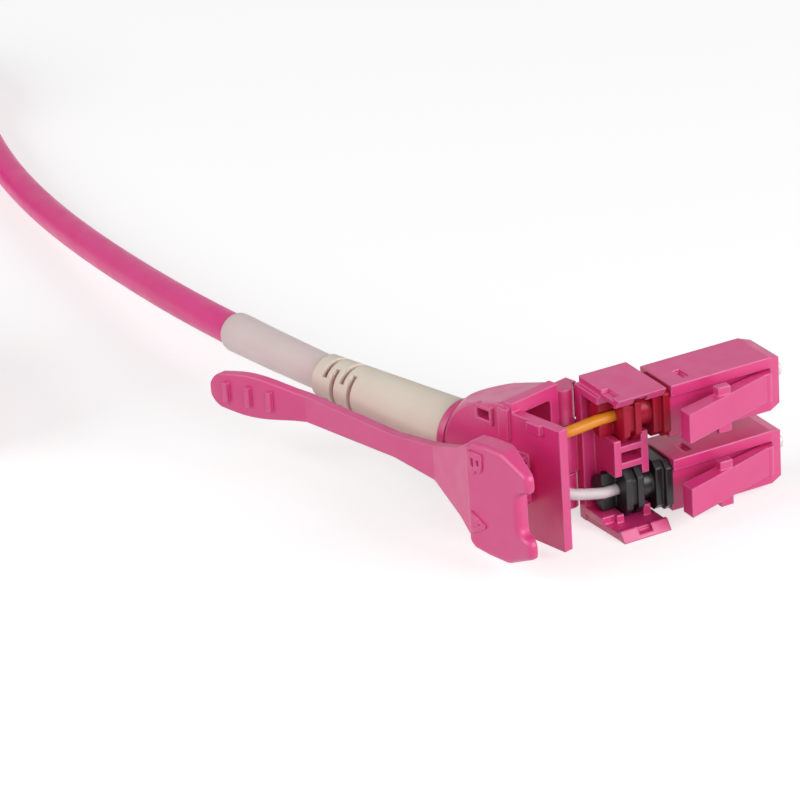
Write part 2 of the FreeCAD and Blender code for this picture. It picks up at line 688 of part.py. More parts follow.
def rear_housing(label):
    """One moulding: domed rear with a cavity, cable neck, side wall, hinge ears and the tab's guide."""
    low, high = f"({MID} - {HOUSING_HALF})", f"({MID} + {HOUSING_HALF})"
    axis = (BOOT_Y, MID)
    far_side = f"({HINGE_Y} - hinge_radius - hinge_clear)"
    half = "(dome_height / 2)"
    egg = egg_block("housing_egg", (DOME_REAR, WALL_OUT_Y, f"{MID} - {half}"),
                    (DOME_FRONT, far_side, f"{MID} + {half}"), "0")
    slope = [(DOME_REAR, f"{MID} - dome_rear_half"), (DOME_FRONT, f"{MID} - dome_front_half"),
             (DOME_FRONT, f"{MID} + dome_front_half"), (DOME_REAR, f"{MID} + dome_rear_half")]
    sides = put(closed_outline("housing_slope", "XZ_Plane", slope, f"{far_side} - {WALL_OUT_Y}")[0],
                ("0", far_side, "0"))
    dome = DOC.addObject("Part::Common", "housing_dome")
    dome.Base = egg
    dome.Tool = sides
    lip = rod("housing_lip", "x", axis, "lip_radius", DOME_REAR, f"{DOME_REAR} + lip_length")
    neck = rod("housing_neck", "x", axis, "neck_outer_dia / 2", NECK_END, f"{DOME_REAR} + dome_wall")
    wall = box("housing_wall", (f"{DOME_FRONT} - dome_wall", WALL_OUT_Y, low), (WALL_END, WALL_IN_Y, high))
    nub_x = f"({HINGE_X} + hinge_gap + holder_length / 2)"
    nub = box("housing_nub", (f"{nub_x} - nub_length / 2", f"{WALL_OUT_Y} - nub_out", f"{high} - nub_height"),
              (f"{nub_x} + nub_length / 2", WALL_IN_Y, high))
    rim = box("housing_rim", (f"{DOME_FRONT} - rim_length", WALL_OUT_Y, f"{MID} - {half} - rim_rise"),
              (DOME_FRONT, far_side, f"{MID} + {half} + rim_rise"))
    ribs = [box(f"housing_rib{side}",
                (f"{HINGE_X} - rib_back", f"{WALL_OUT_Y} - rib_out", f"{MID} + ({start})"),
                (f"{HINGE_X} + rib_ahead", f"{WALL_OUT_Y} + wall / 2", f"{MID} + ({end})"))
            for side, start, end in ((1, "rib_start", "rib_end"), (-1, "-rib_end", "-rib_start"))]
    window_x = f"({DOME_FRONT} - window_back)"
    frame = box("housing_frame",
                (f"{window_x} - window_length - window_frame", f"{WALL_OUT_Y} - window_out",
                 f"{MID} + window_rise - window_frame"),
                (f"{window_x} + window_frame", f"{WALL_OUT_Y} + wall / 2",
                 f"{MID} + window_rise + window_height + window_frame"))
    solid = join("housing_solid", dome, rim, lip, neck, wall, nub, frame, tab_guide(), *ribs,
                 *hinge_ears(low, high, far_side))
    cavity = egg_block("housing_cavity",
                       (f"{DOME_REAR} + dome_wall", WALL_IN_Y, f"{MID} - {half} + dome_wall"),
                       (DOME_FRONT, f"{far_side} - wall", f"{MID} + {half} - dome_wall"), "cavity_inset")
    bore = rod("housing_bore", "x", axis, "neck_bore_dia / 2", NECK_END, DOME_FRONT)
    window = box("housing_window",
                 (f"{window_x} - window_length", f"{WALL_OUT_Y} - window_out", f"{MID} + window_rise"),
                 (window_x, f"{WALL_OUT_Y} + wall", f"{MID} + window_rise + window_height"))
    holes = rod("housing_pin_holes", "z", (HINGE_X, HINGE_Y), "pin_radius + pin_clear",
                f"{MID} - barrel / 2 - pin_length - hinge_clear",
                f"{MID} + barrel / 2 + pin_length + hinge_clear")
    return cut(label + "_shape", solid, cavity, bore, window, holes)


def egg_block(name, low, high, inset):
    """A box kept where it meets the dome's ellipsoid, which is smaller all round by the inset."""
    egg = DOC.addObject("Part::Ellipsoid", name + "_egg")
    bind(egg, Radius1=f"dome_half_height - {inset}", Radius2=f"dome_reach - {inset}",
         Radius3=f"dome_half_width - {inset}")
    put(egg, (f"{DOME_FRONT} + dome_lead", BOOT_Y, MID))
    item = DOC.addObject("Part::Common", name)
    item.Base = box(name + "_box", low, high)
    item.Tool = egg
    return item


def hinge_ears(low, high, far_side):
    """Two round ears around the holder's pins, each with a web to the dome and a stop lug behind."""
    ears = []
    spans = ((low, f"({MID} - barrel / 2 - hinge_clear)"), (f"({MID} + barrel / 2 + hinge_clear)", high))
    for k, (start, end) in enumerate(spans):
        ears.append(rod(f"housing_ear{k}", "z", (HINGE_X, HINGE_Y), "hinge_radius", start, end))
        ears.append(box(f"housing_ear_web{k}", (f"{HINGE_X} - hinge_radius", f"{far_side} - wall", start),
                        (f"{HINGE_X} + web_inset", HINGE_Y, end)))
        ears.append(box(f"housing_stop{k}", (f"{HINGE_X} - hinge_radius", HINGE_Y, start),
                        (f"{HINGE_X} + stop_ahead", f"{HINGE_Y} + stop_reach", end)))
    return ears


def tab_guide():
    """Channel on the side wall in which the tab's rail slides, slotted for the tab's stem."""
    ends = (f"{HINGE_X} - guide_start", f"{HINGE_X} + guide_end")
    block = box("guide_block", (ends[0], GUIDE_OUT_Y, f"{MID} - guide_half"),
                (ends[1], f"{WALL_OUT_Y} + wall / 2", f"{MID} + guide_half"))
    half = "(rail_width / 2 + slide_clear)"
    channel = box("guide_channel", (ends[0], f"{RAIL_OUT_Y} - slide_clear", f"{MID} - {half}"),
                  (ends[1], f"{RAIL_IN_Y} + slide_clear", f"{MID} + {half}"))
    slot_half = "(stem_half + slide_clear)"
    slot = box("guide_slot", (ends[0], GUIDE_OUT_Y, f"{MID} - {slot_half}"),
               (ends[1], RAIL_IN_Y, f"{MID} + {slot_half}"))
    return cut("guide_cut", block, channel, slot)


# Pull tab

def pull_tab(label):
    """One moulding: paddle with ridges, bent strap, head with two arms over the latches, stem and rail."""
    rail = box("tab_rail", (f"{HINGE_X} - rail_start", RAIL_OUT_Y, f"{MID} - rail_width / 2"),
               (f"{HINGE_X} + stem_end", RAIL_IN_Y, f"{MID} + rail_width / 2"))
    stem = box("tab_stem", (f"{HINGE_X} + stem_start", f"{HEAD_IN_Y} - head_thick / 2", f"{MID} - stem_half"),
               (f"{HINGE_X} + stem_end", f"({RAIL_IN_Y} + {RAIL_OUT_Y}) / 2", f"{MID} + stem_half"))
    ridges = []
    for k in range(3):
        x = f"(strap_length - ridge_first - {k} * ridge_pitch)"
        lean = f"(strap_bend * ({x} - waist_back) / (strap_length - waist_back))"
        ridges.append(box(f"tab_ridge{k}",
                          (f"{HINGE_X} - {x} - ridge_width / 2", f"{STRAP_OUT_Y} - {lean} - ridge_rise",
                                            f"{MID} - ridge_height / 2"),
                          (f"{HINGE_X} - {x} + ridge_width / 2", f"{STRAP_OUT_Y} - {lean} + strap_thick / 2",
                           f"{MID} + ridge_height / 2")))
    return join(label + "_shape", rail, stem, tab_strap(), tab_head(), *ridges)


def tab_strap():
    """Strap and paddle: a bent profile seen from above, kept where it meets the outline seen from the side."""
    start = f"{HINGE_X} - head_back + overlap"
    head_edge = f"{HINGE_X} - head_back"
    blend = f"{HINGE_X} - head_back - blend_back"
    flare = f"{HINGE_X} - flare_back - head_back"
    waist, tip = f"{HINGE_X} - waist_back", f"{HINGE_X} - strap_length"
    outer = f"{HEAD_OUT_Y} + head_bevel"
    plan = [(start, outer), (head_edge, outer), (flare, f"{STRAP_OUT_Y} - overlap"), (blend, STRAP_OUT_Y),
            (waist, STRAP_OUT_Y), (tip, f"{STRAP_OUT_Y} - strap_bend"), (tip, f"{STRAP_IN_Y} - strap_bend"),
            (waist, STRAP_IN_Y), (blend, STRAP_IN_Y), (flare, HEAD_IN_Y), (start, HEAD_IN_Y)]
    profile, pad = closed_outline("tab_plan", "XY_Plane", plan, "holder_height")
    upper = [(start, "head_rear_half"), (head_edge, "head_rear_half"), (flare, "flare_half"),
             (blend, "strap_half"),
             (f"{HINGE_X} - waist_start", "waist_half"), (waist, "waist_half + strap_rise / 2"),
             (f"{HINGE_X} - paddle_back", "paddle_half"), (f"{tip} + paddle_tip_half", "paddle_half * 0.8"),
             (tip, "paddle_tip_half")]
    side = upper + [(x, f"-({half})") for x, half in reversed(upper)]
    outline, pad = closed_outline("tab_side", "XZ_Plane", [(x, f"{MID} + ({half})") for x, half in side],
                                  "holder_height * 2")
    strap = DOC.addObject("Part::Common", "tab_strap")
    strap.Base = profile
    strap.Tool = outline
    return strap


def tab_head():
    """Thick head with an open notch between two arms that thin to their tips, rounded at its corners and outer edge."""
    upper = [
        (f"{HINGE_X} - head_back", "head_rear_half"),
        (f"{HINGE_X} + head_side_back", "head_side_half"),
        (f"{HINGE_X} + head_side_back * 3", "head_half"),
        (f"{HINGE_X} + head_long", "head_half"),
        (f"{HINGE_X} + arm_end", "arm_outer_half"),
        (f"{HINGE_X} + arm_end", "arm_inner_half"),
        (f"{HINGE_X} + notch_end", "notch_half"),
    ]
    lower = [(x, f"-{half}") for x, half in reversed(upper)]
    corners = [(x, f"{MID} + ({half})") for x, half in upper + lower]
    body, pad = closed_outline("tab_head", "XZ_Plane", corners, "head_thick")
    corners = body.newObject("PartDesign::Fillet", "tab_head_corners")
    corners.Base = (pad, [f"Edge{k}" for k, edge in enumerate(pad.Shape.Edges, 1)
                          if abs(edge.tangentAt(edge.FirstParameter).y) > 0.99])
    bind(corners, Radius="head_corner")
    DOC.recompute()
    edge = body.newObject("PartDesign::Fillet", "tab_head_edge")
    edge.Base = (corners, [f"Face{k}" for k, face in enumerate(corners.Shape.Faces, 1)
                           if face.normalAt(0, 0).y < -0.99])
    bind(edge, Radius="head_bevel")
    put(body, ("0", HEAD_IN_Y, "0"))
    tip = f"{HINGE_X} + arm_end + overlap"
    lean = f"{HEAD_IN_Y} - (head_thick - arm_tip) * (arm_end + overlap - arm_ramp) / (arm_end - arm_ramp)"
    ramp, pad = closed_outline("tab_ramp", "XY_Plane",
                               [(f"{HINGE_X} + arm_ramp", HEAD_IN_Y), (tip, HEAD_IN_Y), (tip, lean)],
                               "holder_height")
    return cut("tab_head_ramped", body, ramp)


# Boot, crimp and cable

def boot(label):
    """Tapered boot with a socket over the crimp and rows of arc slots at its flexible end."""
    axis = (BOOT_Y, MID)
    shell = cone("boot_shell", "x", axis, ("boot_rear_radius", "boot_front_radius"), BOOT_END, DOME_REAR)
    bore = rod("boot_bore", "x", axis, "cable_dia / 2 + boot_bore_clear", BOOT_END, DOME_REAR)
    socket = rod("boot_socket_bore", "x", axis, "neck_outer_dia / 2 + crimp_wall + crimp_clear + boot_clear",
                 f"{DOME_REAR} - boot_socket", DOME_REAR)
    slots = []
    for row in range(4):
        start = f"({BOOT_END} + slot_first + {row} * slot_pitch)"
        for half in (0, 180):
            sector = rod(f"boot_slot{row}_{half}", "x", axis, "boot_front_radius", start,
                         f"{start} + slot_width")
            sector.Placement.Rotation = AXIS_TURN["x"].multiply(
                FreeCAD.Rotation(FreeCAD.Vector(0, 0, 1), half + 90 * row - 60))
            bind(sector, Angle="slot_angle")
            slots.append(sector)
    return cut(label + "_shape", shell, bore, socket, *slots)


def crimp_sleeve(label):
    """Metal sleeve crimped on the housing's neck, inside the boot."""
    axis = (BOOT_Y, MID)
    inner = "neck_outer_dia / 2 + crimp_clear"
    end = f"({DOME_REAR} - crimp_clear)"
    start = f"({end} - crimp_length)"
    tube = rod("crimp_tube", "x", axis, f"{inner} + crimp_wall", start, end)
    hole = rod("crimp_hole", "x", axis, inner, start, end)
    return cut(label + "_shape", tube, hole)


def cable_route(place, run, free_points):
    """Route of one cable end: straight out of the boot, then the points chosen for the free stretch."""
    start = FreeCAD.Vector(number(NECK_END), number(BOOT_Y), number(MID))
    bend = start - FreeCAD.Vector(number(run), 0, 0)
    return [tuple(place.multVec(point)) for point in (start, bend)] + free_points


def cable_stretch(label, route):
    """Jacketed cable along its route, with its volume compared with section times length."""
    wire, radii = rounded_path(route)
    radius = number("cable_dia / 2")
    item = shaped(label, swept(wire, radius))
    share = item.Shape.Volume / (math.pi * radius ** 2 * wire.Length)
    print(label, "radii", radii, "length", round(wire.Length, 1), "volume share", round(share, 4))
    return wire


def shrink_sleeve(label, wire):
    """Shrink sleeve on the cable's first bend, right behind the boot."""
    bend = wire.Edges[1]
    radius = bend.Curve.Radius
    clear = number("sleeve_clear")
    gap = number("boot_length - neck_length") - wire.Edges[0].Length + clear
    start = bend.FirstParameter + gap / radius
    stretch = Part.Wire([bend.Curve.toShape(start, start + number("sleeve_length") / radius)])
    inner = number("cable_dia / 2 + sleeve_clear")
    return shaped(label, swept(stretch, inner + number("sleeve_wall"), inner))


def fibre(label, points):
    """Buffered fibre from the end of the jacket to the back of its flange."""
    wire, radii = rounded_path(points)
    return shaped(label, swept(wire, number("fibre_dia / 2")))


def fibre_points(side, place):
    """Points of a fibre: out of the jacket, through the cavity, then along its plug's axis."""
    across, mid, high = number(BOOT_Y), number(MID), number(plug_height(side))
    beside = mid + side * number("fibre_gap") / 2
    rear, front, hinge_x = number(HOLDER_REAR), number(FLANGE_BACK), number(HINGE_X)
    lead = [(number(NECK_END), across, beside),
            (number(f"{DOME_REAR} + fibre_lead"), across, beside + side * number("fibre_lead_rise"))]
    if place is None:
        closed_front = hinge_x + front - number(HINGE_Y)
        run, rise = hinge_x + number("fibre_closed_run"), high + side * number("fibre_closed_rise")
        return lead + [(hinge_x + number("fibre_turn"), across, high), (run, across, rise),
                       (closed_front, across, high)]
    lead = [tuple(place.multVec(FreeCAD.Vector(*point))) for point in lead]
    entry = high - number("fibre_upper_drop") if side > 0 else high + number("fibre_lower_rise")
    bend = (number("fibre_entry_side"), rear - number("fibre_entry_back"), entry)
    return lead + [bend, (0, rear + number("fibre_seat"), high), (0, front, high)]


# Coil and tie

def cable_coil(label):
    """Outer shape of the wound length: a ring with drafted sides, on the tie's thickness."""
    centre = ("coil_x", "coil_y")
    half = "(coil_columns * cable_dia / 2)"
    low, high = "tie_thick", "(tie_thick + coil_height)"
    ring = cone("coil_ring", "z", centre, (f"coil_radius + {half}", f"coil_radius + {half} - coil_draft"),
                low, high)
    eye = cone("coil_eye", "z", centre, (f"coil_radius - {half}", f"coil_radius - {half} + coil_draft"), low,
               high)
    return node(label, cut(label, ring, eye))


def coil_tie(label, coil):
    """Strap around the wound cable, on the side away from the connector."""
    half = "(coil_columns * cable_dia / 2 + tie_thick)"
    block = box("tie_block", (f"coil_x - coil_radius - {half}", "coil_y - tie_width / 2", "0"),
                (f"coil_x - coil_radius + {half}", "coil_y + tie_width / 2", "coil_height + 2 * tie_thick"))
    return node(label, cut(label, block, coil))


# The far connector repeats the near one, with its holder closed

def swung(angle, shift=(0, 0)):
    """Placement of a piece turned about the hinge and then moved across the floor."""
    turn = FreeCAD.Rotation(FreeCAD.Vector(0, 0, 1), angle)
    return FreeCAD.Placement(FreeCAD.Vector(*shift, 0), turn,
                             FreeCAD.Vector(number(HINGE_X), number(HINGE_Y), 0))


def placed(label, item, place):
    """A copy of a piece at its place in the near connector or in the far one."""
    copy = DOC.addObject("Part::Compound", label)
    copy.Links = [item]
    copy.Placement = place
    return node(label, copy)


def build():
    """Make every piece in order."""
    fill_sheet()
    shift = (number("far_shift_x"), number("far_shift_y"))
    near_rear, far_rear = swung(number("swing_open")), swung(0, shift)
    far_holder = swung(number("close_angle"), shift)
    rear = {"rear_housing": rear_housing("rear_housing"), "pull_tab": pull_tab("pull_tab"),
            "boot": boot("boot"),
            "crimp_sleeve": crimp_sleeve("crimp_sleeve")}
    swinging = [plug_holder("plug_holder")]
    for name, side in (("upper", 1), ("lower", -1)):
        swinging += [plug_body(f"{name}_plug_body", side), latch(f"{name}_latch", side),
                     rear_body(f"{name}_rear_body", side), ferrule(f"{name}_ferrule", side),
                     flange(f"{name}_flange", side), spring(f"{name}_spring", side)]
        fibre(f"{name}_fibre", fibre_points(side, near_rear))
        far = fibre(f"far_{name}_fibre", fibre_points(side, None))
        far.Placement = far_rear
    near_wire = cable_stretch("cable", cable_route(near_rear, "straight_run", NEAR_ROUTE_FREE))
    far_wire = cable_stretch("far_cable", cable_route(far_rear, "far_straight_run", FAR_ROUTE_FREE))
    shrink_sleeve("shrink_sleeve", near_wire)
    shrink_sleeve("far_shrink_sleeve", far_wire)
    coil = cable_coil("cable_coil")
    coil_tie("coil_tie", coil)
    DOC.recompute()
    for label, item in rear.items():
        placed(label, item, near_rear)
        placed("far_" + label, item, far_rear)
    for item in swinging:
        placed("far_" + item.Label, item, far_holder)
    DOC.recompute()


def check_and_write():
    """Stop on any failed object, then write each piece to its own file."""
    for item in DOC.Objects:
        if "Invalid" in item.State or "Error" in item.State:
            raise RuntimeError(f"{item.Name} failed: {item.State}")
    os.makedirs("parts", exist_ok=True)
    for item in NODES:
        shape = item.Shape
        if shape.isNull() or not shape.isValid() or not shape.Solids:
            raise RuntimeError(f"{item.Label} has no valid solid")
        shape.exportStep(f"parts/{item.Label}.step")
    print(len(NODES), "pieces")


build()
check_and_write()
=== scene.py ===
"""Looks of the duplex fibre cable: camera, cord, soft insides, paddles, letters, materials, floor and light.

Lengths in the tables are millimetres in the part's own frame; everything that reaches a mesh is in metres.
The camera, the floor, the lamps, the rounded edge and the tie's bump are given in metres.
"""

import bpy
import json
import math
import numpy as np
from mathutils import Matrix, Vector


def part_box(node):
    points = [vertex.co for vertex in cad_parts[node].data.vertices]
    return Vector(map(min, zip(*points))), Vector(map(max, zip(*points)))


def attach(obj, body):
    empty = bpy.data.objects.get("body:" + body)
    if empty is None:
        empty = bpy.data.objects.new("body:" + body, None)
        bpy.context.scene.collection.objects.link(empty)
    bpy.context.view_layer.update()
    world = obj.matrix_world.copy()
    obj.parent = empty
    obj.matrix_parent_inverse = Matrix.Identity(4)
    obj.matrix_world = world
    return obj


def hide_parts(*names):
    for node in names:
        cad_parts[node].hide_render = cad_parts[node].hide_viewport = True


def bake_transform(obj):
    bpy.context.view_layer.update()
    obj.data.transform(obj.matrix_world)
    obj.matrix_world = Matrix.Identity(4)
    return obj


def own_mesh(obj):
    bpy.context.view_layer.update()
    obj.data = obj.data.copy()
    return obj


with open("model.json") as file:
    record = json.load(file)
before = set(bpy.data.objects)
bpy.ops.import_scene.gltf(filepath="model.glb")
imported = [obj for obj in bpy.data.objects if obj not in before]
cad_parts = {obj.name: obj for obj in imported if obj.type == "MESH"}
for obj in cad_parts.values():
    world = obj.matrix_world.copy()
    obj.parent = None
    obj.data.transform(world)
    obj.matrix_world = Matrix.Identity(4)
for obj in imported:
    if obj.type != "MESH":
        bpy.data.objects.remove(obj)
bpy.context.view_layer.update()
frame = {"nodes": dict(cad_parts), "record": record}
MM = 0.001

# Places that the pieces share, as in the part's source

HINGE = np.array([-3.3, -3.15, 0.0])
SWING_OPEN = 14.0
FAR_SHIFT = np.array([-54.0, -34.0, 0.0])
MID_HEIGHT = 6.0


# Objects and meshes

def add_object(name, data):
    """A new object in the scene that shows some data."""
    item = bpy.data.objects.new(name, data)
    bpy.context.scene.collection.objects.link(item)
    return item


def shade_smooth(mesh):
    """Smooth shading on all faces of a mesh."""
    mesh.polygons.foreach_set("use_smooth", np.ones(len(mesh.polygons), bool))


def grid_mesh(name, points, faces):
    """A piece from an array of points in metres and an array of faces, smooth shaded."""
    mesh = bpy.data.meshes.new(name)
    mesh.from_pydata(points.tolist(), [], faces.tolist())
    shade_smooth(mesh)
    mesh.update()
    return add_object(name, mesh)


def shown_mesh(item):
    """A mesh of a curve or a text, as it is shown."""
    bpy.context.view_layer.update()
    return bpy.data.meshes.new_from_object(item.evaluated_get(bpy.context.evaluated_depsgraph_get()))


def mesh_points(mesh):
    """The points of a mesh, one to a row."""
    flat = np.empty(3 * len(mesh.vertices))
    mesh.vertices.foreach_get("co", flat)
    return flat.reshape(-1, 3)


def band_faces(rows, columns, closed):
    """Quads of a grid whose rows are rings: each corner joins the next column round its ring and the next
    row. A closed band joins its last row to its first."""
    row, column = np.meshgrid(np.arange(rows if closed else rows - 1), np.arange(columns), indexing="ij")
    next_row, next_column = (row + 1) % rows, (column + 1) % columns
    quads = [row * columns + column, row * columns + next_column,
             next_row * columns + next_column, next_row * columns + column]
    return np.stack(quads, -1).reshape(-1, 4)


def even_angles(count):
    """Angles at even steps round a circle."""
    return np.linspace(0, 2 * math.pi, count, endpoint=False)


def swept_rings(middle, radius, side, upward, count):
    """Points of rings along a line: the line's point plus the radius times a turn of two directions."""
    angle = even_angles(count)[None, :, None]
    ring = side[:, None] * np.cos(angle) + upward[:, None] * np.sin(angle)
    return (middle[:, None] + radius[:, None, None] * ring).reshape(-1, 3)


def rear_place(points, far):
    """Points of the housing's own frame: turned about the hinge at the near end, moved at the far end."""
    angle = 0.0 if far else math.radians(SWING_OPEN)
    turn = np.array([[math.cos(angle), -math.sin(angle), 0],
                     [math.sin(angle), math.cos(angle), 0],
                     [0, 0, 1]])
    return points @ turn.T + HINGE + (FAR_SHIFT if far else 0)


# Camera

CAMERA_ANGLES = (63.47, 24.83, -4.0)
CAMERA_PLACE = (0.2245, -0.1307, 0.1315)
CAMERA_LENS, CAMERA_SENSOR = 169.26, 36.0
CAMERA_CLIP = (0.01, 20.0)


def photo_camera():
    """Camera at the photograph's angle: its right, up and backward axes from azimuth, elevation and roll."""
    azimuth, elevation, roll = (math.radians(angle) for angle in CAMERA_ANGLES)
    across = Vector((math.cos(azimuth), math.sin(azimuth), 0))
    ahead = Vector((-math.sin(azimuth) * math.cos(elevation), math.cos(azimuth) * math.cos(elevation),
                    -math.sin(elevation)))
    above = across.cross(ahead)
    right = math.cos(roll) * across + math.sin(roll) * above
    up = math.cos(roll) * above - math.sin(roll) * across
    data = bpy.data.cameras.new("photo_camera")
    data.sensor_fit = "HORIZONTAL"
    data.sensor_width = CAMERA_SENSOR
    data.lens = CAMERA_LENS
    data.clip_start, data.clip_end = CAMERA_CLIP
    camera = add_object("photo_camera", data)
    turn = Matrix((right, up, -ahead)).transposed().to_4x4()
    camera.matrix_world = Matrix.Translation(CAMERA_PLACE) @ turn
    bpy.context.scene.camera = camera


photo_camera()

# Cord: the routes at both ends, and the radius and height of each wound turn between them

CABLE_DIA = 2.8
NEAR_ROUTE = [(-14.243, -9.279, 6.0), (-34.619, -14.359, 6.0), (-73.0, -13.85, 2.4), (-97.0, -11.9, 1.9)]
FAR_ROUTE = [(-105.5, -44.6, 4.3), (-87.6, -40.45, 6.0), (-69.4, -40.45, 6.0)]
COIL_CENTRE = np.array([-124.0, -27.0])
COIL_RADII = np.array([21.0, 18.2, 15.4, 12.6, 12.6, 15.4, 18.2, 21.0])
COIL_HEIGHTS = np.array([1.9, 1.9, 1.9, 1.9, 4.7, 4.7, 4.7, 4.7])
COIL_START, COIL_TURNS = 76.4, 7.573
COIL_POINTS, COIL_STEP = 16, 0.2
SPLINE_OWN, SPLINE_BESIDE = 0.75, 0.25


def coil_points():
    """Control points of the wound turns: even steps round a circle, with each change to the next turn's
    radius and height eased over the last part of the turn. The circle is drawn larger by the amount that the
    spline, which takes a share of each point and of those beside it, cuts inside it."""
    turn = np.linspace(0, COIL_TURNS, round(COIL_TURNS * COIL_POINTS) + 1)
    now = np.minimum(turn.astype(int), len(COIL_RADII) - 1)
    after = np.minimum(now + 1, len(COIL_RADII) - 1)
    share = np.clip((turn - now - (1 - COIL_STEP)) / COIL_STEP, 0, 1)
    ease = share * share * (3 - 2 * share)
    cut = SPLINE_OWN + SPLINE_BESIDE * math.cos(2 * math.pi / COIL_POINTS)
    radius = (COIL_RADII[now] + (COIL_RADII[after] - COIL_RADII[now]) * ease) / cut
    height = COIL_HEIGHTS[now] + (COIL_HEIGHTS[after] - COIL_HEIGHTS[now]) * ease
    angle = math.radians(COIL_START) + 2 * math.pi * turn
    x, y = COIL_CENTRE[0] + radius * np.cos(angle), COIL_CENTRE[1] + radius * np.sin(angle)
    return np.stack([x, y, height], -1)


def cord_curve(name, points, depth):
    """A smooth open spline with the route's points as its control points; each carries the cord's radius."""
    data = bpy.data.curves.new(name, "CURVE")
    data.dimensions = "3D"
    spline = data.splines.new("NURBS")
    spline.points.add(len(points) - 1)
    spline.points.foreach_set("co", np.hstack([points * MM, np.ones((len(points), 1))]).ravel())
    spline.order_u = 3
    spline.use_endpoint_u = True
    spline.points.foreach_set("radius", np.full(len(points), depth))
    data.resolution_u = 8
    data.bevel_depth = 1.0
    data.bevel_resolution = 7
    data.use_fill_caps = True
    return add_object(name, data)


def line_of(item):
    """Points along a curve, in millimetres, with the length up to each."""
    data = item.data.copy()
    data.bevel_depth = 0
    bare = add_object("bare_line", data)
    mesh = shown_mesh(bare)
    points = mesh_points(mesh) / MM
    bpy.data.objects.remove(bare)
    bpy.data.meshes.remove(mesh)
    steps = np.linalg.norm(np.diff(points, axis=0), axis=1)
    return points, np.concatenate([[0], np.cumsum(steps)])


CORD_POINTS = np.vstack([NEAR_ROUTE, coil_points(), FAR_ROUTE])
cord = cord_curve("fibre_cord", CORD_POINTS, CABLE_DIA / 2 * MM)
cord_line, cord_lengths = line_of(cord)
CORD_LENGTH = cord_lengths[-1]

# Shrink sleeves; the rim's rows give the distance from an end and how much less the radius is there

SLEEVE_START, SLEEVE_LENGTH = 11.8, 14.0
SLEEVE_RADIUS, SLEEVE_BOOT_RADIUS, SLEEVE_BORE = 1.7, 1.55, 1.41
SLEEVE_RIM = [(0.0, 0.1), (0.12, 0.02), (0.4, 0.0)]
SLEEVE_OUTSIDE, SLEEVE_INSIDE = np.linspace(0.08, 0.92, 22), np.linspace(0.95, 0.05, 12)
SLEEVE_SIDES = 48
LOOK_AHEAD = 0.3


def on_cord(lengths):
    """Points of the cord's line at given lengths along it."""
    return np.stack([np.interp(lengths, cord_lengths, cord_line[:, k]) for k in range(3)], -1)


def sleeve(name, start, end, first, last):
    """Shrink sleeve: a closed profile of (length along the cord, radius), carried round the cord's line.
    The radius goes evenly from the first to the last, with both ends rounded.
    Each point is the line's point plus the radius times a turn of the side and upward directions."""
    span, growth = end - start, last - first
    profile = [(start, SLEEVE_BORE)]
    profile += [(start + step, first - less) for step, less in SLEEVE_RIM]
    profile += [(start + share * span, first + share * growth) for share in SLEEVE_OUTSIDE]
    profile += [(end - step, last - less) for step, less in reversed(SLEEVE_RIM)]
    profile += [(end, SLEEVE_BORE)]
    profile += [(start + share * span, SLEEVE_BORE) for share in SLEEVE_INSIDE]
    along, radius = np.array(profile).T
    middle = on_cord(along)
    ahead = on_cord(along + LOOK_AHEAD) - middle
    ahead /= np.linalg.norm(ahead, axis=1, keepdims=True)
    side = np.cross(ahead, [0, 0, 1.0])
    side /= np.linalg.norm(side, axis=1, keepdims=True)
    points = swept_rings(middle, radius, side, np.cross(side, ahead), SLEEVE_SIDES)
    return grid_mesh(name, points * MM, band_faces(len(profile), SLEEVE_SIDES, True))


near_sleeve = sleeve("near_sleeve", SLEEVE_START, SLEEVE_START + SLEEVE_LENGTH,
                     SLEEVE_BOOT_RADIUS, SLEEVE_RADIUS)
far_sleeve = sleeve("far_sleeve", CORD_LENGTH - SLEEVE_START - SLEEVE_LENGTH, CORD_LENGTH - SLEEVE_START,
                    SLEEVE_RADIUS, SLEEVE_BOOT_RADIUS)
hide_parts("cable", "cable_coil", "far_cable")
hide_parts("shrink_sleeve")
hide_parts("far_shrink_sleeve")
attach(cord, "rear")
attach(near_sleeve, "rear")
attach(far_sleeve, "rear")

# Fibres and springs; each fibre ends short of its flange, with room for the ferrule's travel

FIBRE_DIA = 0.9
FIBRES = {
    "upper_fibre": [(-14.242, -9.279, 6.55), (-7.45, -7.586, 6.65), (0.15, -6.0, 8.775), (0, -2.0, 9.125),
                    (0, -1.4, 9.125), (0, 6.55, 9.125)],
    "lower_fibre": [(-14.242, -9.279, 5.45), (-7.45, -7.586, 5.35), (0.15, -6.0, 3.975), (0, -2.0, 2.875),
                    (0, -1.4, 2.875), (0, 6.55, 2.875)],
    "far_upper_fibre": [(-15.4, -6.45, 6.55), (-8.4, -6.45, 6.65), (-2.7, -6.45, 9.125), (-1.6, -6.45, 9.125),
                        (6.4, -6.45, 9.125)],
    "far_lower_fibre": [(-15.4, -6.45, 5.45), (-8.4, -6.45, 5.35), (-2.7, -6.45, 2.875), (-1.6, -6.45, 2.875),
                        (6.4, -6.45, 2.875)],
}
SPRING_WIRE, SPRING_POINT, SPRING_TURNS = 0.2, 0.002, 4
SPRING_STEPS, SPRING_SIDES = 24, 10


def tube_mesh(name, points, radius):
    """A mesh tube round a smooth spline that has the given points, in millimetres, as its control points."""
    curve = cord_curve(name + "_line", np.array(points, float), radius * MM)
    mesh = shown_mesh(curve)
    bpy.data.objects.remove(curve)
    shade_smooth(mesh)
    return add_object(name, mesh)


